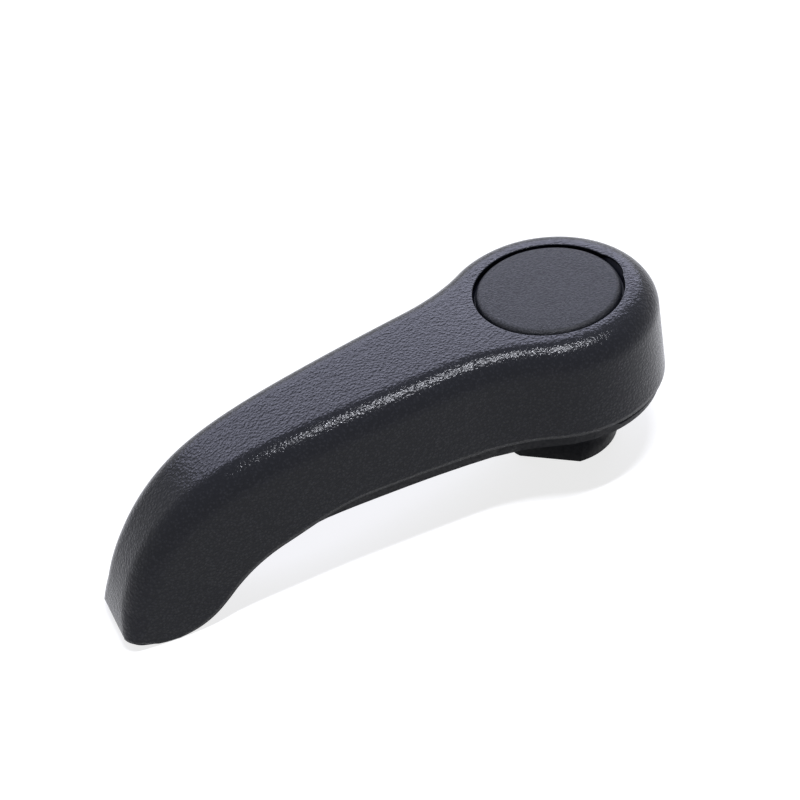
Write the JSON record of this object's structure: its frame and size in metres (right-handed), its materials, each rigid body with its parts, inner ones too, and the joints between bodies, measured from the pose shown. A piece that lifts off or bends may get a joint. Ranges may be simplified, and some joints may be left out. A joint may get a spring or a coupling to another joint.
{
  "type": "car seat adjustment lever",
  "caption": "Curved plastic lever with a round head, snap-in screw cover and serrated spindle socket, for a car seat's recliner.",
  "frame": {"origin": "on the spindle's axis at the end face of the barrel, where the lever meets the seat's side", "axes": "+Z along the spindle out of the seat, towards the screw cover; the arm points along -X"},
  "size_m": [0.1261, 0.046, 0.0377],
  "materials": {
    "body_plastic": "grained, satin",
    "cover_plastic": "fine grained, matt",
    "zinc_steel": "zinc plated"
  },
  "bodies": {
    "root": {"lever_body": "body_plastic", "screw_cap": "cover_plastic", "retaining_screw": "zinc_steel", "washer": "zinc_steel"}
  },
  "joints": []
}
